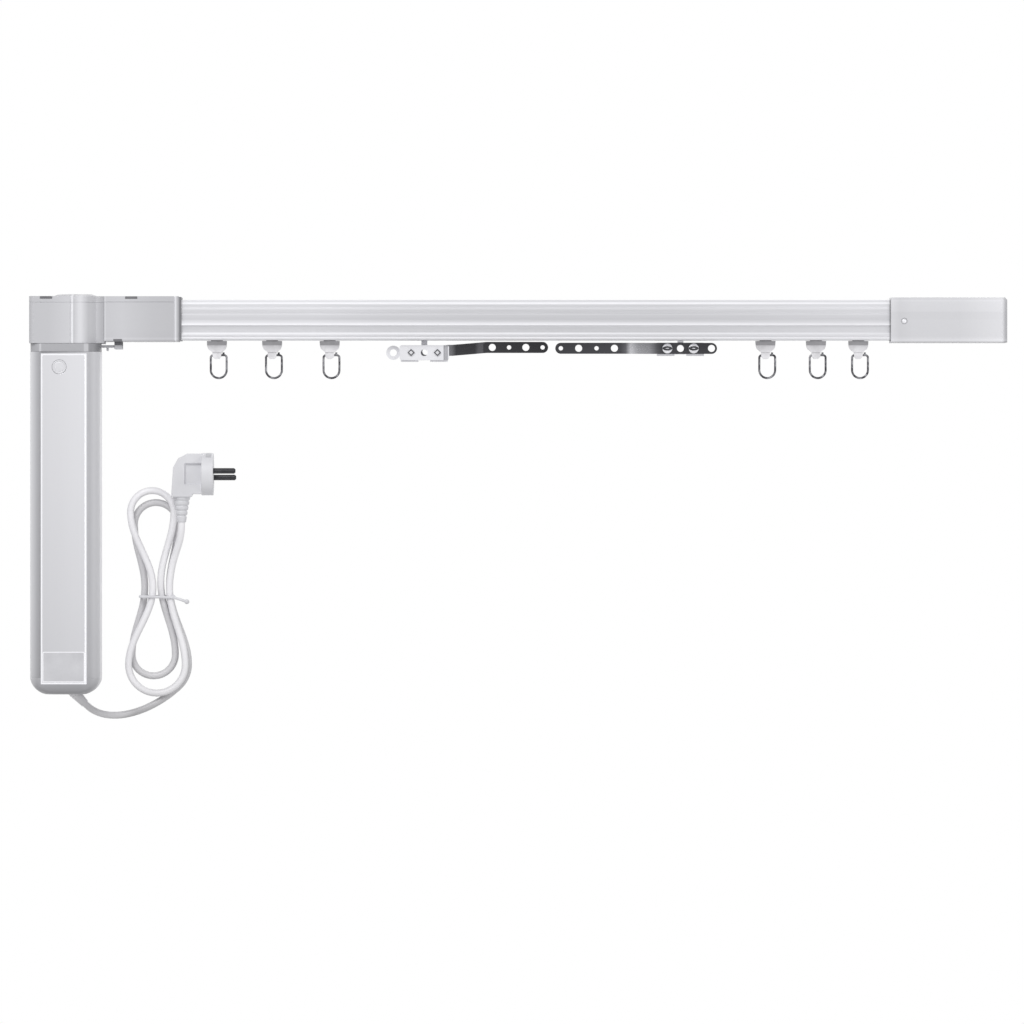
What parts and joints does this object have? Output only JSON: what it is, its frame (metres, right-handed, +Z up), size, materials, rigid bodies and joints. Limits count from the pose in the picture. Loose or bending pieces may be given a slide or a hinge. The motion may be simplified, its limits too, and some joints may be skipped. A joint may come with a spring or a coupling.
{
  "type": "electric curtain track",
  "caption": "Motorised curtain track: slotted rail, toothed-belt drive, carriers with overlapping steel arms, ring gliders, a hanging motor and a tied power lead.",
  "frame": {"origin": "middle of the rail's top face, on the ceiling clip slot", "axes": "+X along the rail away from the motor, -Y to the front, +Z up"},
  "size_m": [0.8308, 0.0538, 0.3613],
  "materials": {
    "rail": "fine satin anodised",
    "housing": "fine matt moulded",
    "motor_case": "fine matt",
    "panel": "satin",
    "white_plastic": "smooth moulded",
    "roller": "smooth moulded",
    "belt": "matt rubber",
    "steel": "machined",
    "arm": "dark bright plating",
    "ring": "bright wire",
    "latch_dark": "satin",
    "board": "circuit board",
    "lead": "smooth sheath",
    "plug": "fine matt moulded",
    "pins": "dark plating"
  },
  "bodies": {
    "track": {"track_rail": "rail", "track_adapter": "housing", "drive_housing": "housing", "drive_cover": "housing", "drive_belt": "belt", "return_housing": "housing", "return_cover": "housing", "return_screw": "steel", "motor_collar": "motor_case", "motor_tube": "motor_case", "motor_panel": "panel", "motor_cap": "motor_case", "gear_motor": "steel", "control_board": "board", "latch_bracket": "latch_dark", "cable_gland": "lead", "power_lead": "lead", "lead_hank": "lead", "hank_tie": "white_plastic", "plug_lead": "lead", "plug_body": "plug", "plug_pins": "pins"},
    "drive_shaft": {"drive_sprocket": "roller", "motor_shaft": "steel"},
    "front_guide_roller": {"guide_roller_front": "roller"},
    "rear_guide_roller": {"guide_roller_rear": "roller"},
    "return_pulley": {"return_pulley": "roller"},
    "set_button": {"set_button": "panel"},
    "motor_latch": {"motor_latch": "housing"},
    "left_carrier": {"left_truck": "white_plastic", "left_block": "white_plastic", "left_arm": "arm", "left_screws": "steel"},
    "left_inner_wheels": {"left_wheels_inner": "roller"},
    "left_outer_wheels": {"left_wheels_outer": "roller"},
    "right_carrier": {"right_truck": "white_plastic", "right_block": "white_plastic", "right_arm": "arm", "right_screws": "steel"},
    "right_inner_wheels": {"right_wheels_inner": "roller"},
    "right_outer_wheels": {"right_wheels_outer": "roller"},
    "glider_1": {"glider_body_1": "white_plastic"},
    "glider_1_wheels": {"glider_wheels_1": "roller"},
    "glider_1_ring": {"glider_ring_1": "ring"},
    "glider_2": {"glider_body_2": "white_plastic"},
    "glider_2_wheels": {"glider_wheels_2": "roller"},
    "glider_2_ring": {"glider_ring_2": "ring"},
    "glider_3": {"glider_body_3": "white_plastic"},
    "glider_3_wheels": {"glider_wheels_3": "roller"},
    "glider_3_ring": {"glider_ring_3": "ring"},
    "glider_4": {"glider_body_4": "white_plastic"},
    "glider_4_wheels": {"glider_wheels_4": "roller"},
    "glider_4_ring": {"glider_ring_4": "ring"},
    "glider_5": {"glider_body_5": "white_plastic"},
    "glider_5_wheels": {"glider_wheels_5": "roller"},
    "glider_5_ring": {"glider_ring_5": "ring"},
    "glider_6": {"glider_body_6": "white_plastic"},
    "glider_6_wheels": {"glider_wheels_6": "roller"},
    "glider_6_ring": {"glider_ring_6": "ring"}
  },
  "joints": [
    {"name": "left_carrier_slide", "type": "slide", "parent": "track", "child": "left_carrier", "axis": [1, 0, 0], "range_m": [-0.088, 0.04], "deforming": ["drive_belt"]},
    {"name": "right_carrier_slide", "type": "slide", "parent": "track", "child": "right_carrier", "axis": [1, 0, 0], "range_m": [-0.041, 0.089]},
    {"name": "left_inner_wheels_spin", "type": "hinge", "parent": "left_carrier", "child": "left_inner_wheels", "pos_m": [-0.083, 0, -0.027], "axis": [0, 1, 0], "continuous": true},
    {"name": "left_outer_wheels_spin", "type": "hinge", "parent": "left_carrier", "child": "left_outer_wheels", "pos_m": [-0.107, 0, -0.027], "axis": [0, 1, 0], "continuous": true},
    {"name": "right_inner_wheels_spin", "type": "hinge", "parent": "right_carrier", "child": "right_inner_wheels", "pos_m": [0.111, 0, -0.027], "axis": [0, 1, 0], "continuous": true},
    {"name": "right_outer_wheels_spin", "type": "hinge", "parent": "right_carrier", "child": "right_outer_wheels", "pos_m": [0.135, 0, -0.027], "axis": [0, 1, 0], "continuous": true},
    {"name": "glider_1_slide", "type": "slide", "parent": "track", "child": "glider_1", "axis": [1, 0, 0], "range_m": [-0.01772, 0.0086]},
    {"name": "glider_1_wheels_spin", "type": "hinge", "parent": "glider_1", "child": "glider_1_wheels", "pos_m": [-0.27159, 0, -0.028], "axis": [0, 1, 0], "continuous": true},
    {"name": "glider_1_ring_swing", "type": "hinge", "parent": "glider_1", "child": "glider_1_ring", "pos_m": [-0.27159, 0, -0.0467], "axis": [1, 0, 0], "range_deg": [-80, 80]},
    {"name": "glider_2_slide", "type": "slide", "parent": "track", "child": "glider_2", "axis": [1, 0, 0], "range_m": [-0.0362, 0.017]},
    {"name": "glider_2_wheels_spin", "type": "hinge", "parent": "glider_2", "child": "glider_2_wheels", "pos_m": [-0.22459, 0, -0.028], "axis": [0, 1, 0], "continuous": true},
    {"name": "glider_2_ring_swing", "type": "hinge", "parent": "glider_2", "child": "glider_2_ring", "pos_m": [-0.22459, 0, -0.0467], "axis": [1, 0, 0], "range_deg": [-80, 80]},
    {"name": "glider_3_slide", "type": "slide", "parent": "track", "child": "glider_3", "axis": [1, 0, 0], "range_m": [-0.05732, 0.0266]},
    {"name": "glider_3_wheels_spin", "type": "hinge", "parent": "glider_3", "child": "glider_3_wheels", "pos_m": [-0.17559, 0, -0.028], "axis": [0, 1, 0], "continuous": true},
    {"name": "glider_3_ring_swing", "type": "hinge", "parent": "glider_3", "child": "glider_3_ring", "pos_m": [-0.17559, 0, -0.0467], "axis": [1, 0, 0], "range_deg": [-80, 80]},
    {"name": "glider_4_slide", "type": "slide", "parent": "track", "child": "glider_4", "axis": [1, 0, 0], "range_m": [-0.0274, 0.05908]},
    {"name": "glider_4_wheels_spin", "type": "hinge", "parent": "glider_4", "child": "glider_4_wheels", "pos_m": [0.1954, 0, -0.028], "axis": [0, 1, 0], "continuous": true},
    {"name": "glider_4_ring_swing", "type": "hinge", "parent": "glider_4", "child": "glider_4_ring", "pos_m": [0.1954, 0, -0.0467], "axis": [1, 0, 0], "range_deg": [-80, 80]},
    {"name": "glider_5_slide", "type": "slide", "parent": "track", "child": "glider_5", "axis": [1, 0, 0], "range_m": [-0.0164, 0.03488]},
    {"name": "glider_5_wheels_spin", "type": "hinge", "parent": "glider_5", "child": "glider_5_wheels", "pos_m": [0.2384, 0, -0.028], "axis": [0, 1, 0], "continuous": true},
    {"name": "glider_5_ring_swing", "type": "hinge", "parent": "glider_5", "child": "glider_5_ring", "pos_m": [0.2384, 0, -0.0467], "axis": [1, 0, 0], "range_deg": [-80, 80]},
    {"name": "glider_6_slide", "type": "slide", "parent": "track", "child": "glider_6", "axis": [1, 0, 0], "range_m": [-0.0084, 0.01728]},
    {"name": "glider_6_wheels_spin", "type": "hinge", "parent": "glider_6", "child": "glider_6_wheels", "pos_m": [0.2744, 0, -0.028], "axis": [0, 1, 0], "continuous": true},
    {"name": "glider_6_ring_swing", "type": "hinge", "parent": "glider_6", "child": "glider_6_ring", "pos_m": [0.2744, 0, -0.0467], "axis": [1, 0, 0], "range_deg": [-80, 80]},
    {"name": "drive_shaft_spin", "type": "hinge", "parent": "track", "child": "drive_shaft", "pos_m": [-0.3921, 0, -0.014], "axis": [0, 0, 1], "continuous": true},
    {"name": "front_roller_spin", "type": "hinge", "parent": "track", "child": "front_guide_roller", "pos_m": [-0.352, -0.01335, -0.014], "axis": [0, 0, 1], "continuous": true},
    {"name": "rear_roller_spin", "type": "hinge", "parent": "track", "child": "rear_guide_roller", "pos_m": [-0.352, 0.01335, -0.014], "axis": [0, 0, 1], "continuous": true},
    {"name": "return_pulley_spin", "type": "hinge", "parent": "track", "child": "return_pulley", "pos_m": [0.3775, 0, -0.014], "axis": [0, 0, 1], "continuous": true},
    {"name": "set_button_press", "type": "slide", "parent": "track", "child": "set_button", "axis": [0, 1, 0], "range_m": [0, 0.001], "stiffness_N_per_m": 600},
    {"name": "motor_latch_slide", "type": "slide", "parent": "track", "child": "motor_latch", "axis": [1, 0, 0], "range_m": [0, 0.005]}
  ],
  "couplings": [
    {"joint": "right_carrier_slide", "follows": "left_carrier_slide", "ratio": -1},
    {"joint": "left_inner_wheels_spin", "follows": "left_carrier_slide", "rad_per_m": 200},
    {"joint": "left_outer_wheels_spin", "follows": "left_carrier_slide", "rad_per_m": 200},
    {"joint": "right_inner_wheels_spin", "follows": "left_carrier_slide", "rad_per_m": -200},
    {"joint": "right_outer_wheels_spin", "follows": "left_carrier_slide", "rad_per_m": -200},
    {"joint": "glider_1_slide", "follows": "left_carrier_slide", "ratio": 0.19},
    {"joint": "glider_1_wheels_spin", "follows": "left_carrier_slide", "rad_per_m": 47.5},
    {"joint": "glider_2_slide", "follows": "left_carrier_slide", "ratio": 0.4},
    {"joint": "glider_2_wheels_spin", "follows": "left_carrier_slide", "rad_per_m": 100},
    {"joint": "glider_3_slide", "follows": "left_carrier_slide", "ratio": 0.64},
    {"joint": "glider_3_wheels_spin", "follows": "left_carrier_slide", "rad_per_m": 160},
    {"joint": "glider_4_slide", "follows": "left_carrier_slide", "ratio": -0.66},
    {"joint": "glider_4_wheels_spin", "follows": "left_carrier_slide", "rad_per_m": -165},
    {"joint": "glider_5_slide", "follows": "left_carrier_slide", "ratio": -0.385},
    {"joint": "glider_5_wheels_spin", "follows": "left_carrier_slide", "rad_per_m": -96.25},
    {"joint": "glider_6_slide", "follows": "left_carrier_slide", "ratio": -0.185},
    {"joint": "glider_6_wheels_spin", "follows": "left_carrier_slide", "rad_per_m": -46.25},
    {"joint": "drive_shaft_spin", "follows": "left_carrier_slide", "rad_per_m": -69.813},
    {"joint": "front_roller_spin", "follows": "left_carrier_slide", "rad_per_m": 400},
    {"joint": "rear_roller_spin", "follows": "left_carrier_slide", "rad_per_m": 400},
    {"joint": "return_pulley_spin", "follows": "left_carrier_slide", "rad_per_m": -105.26}
  ]
}
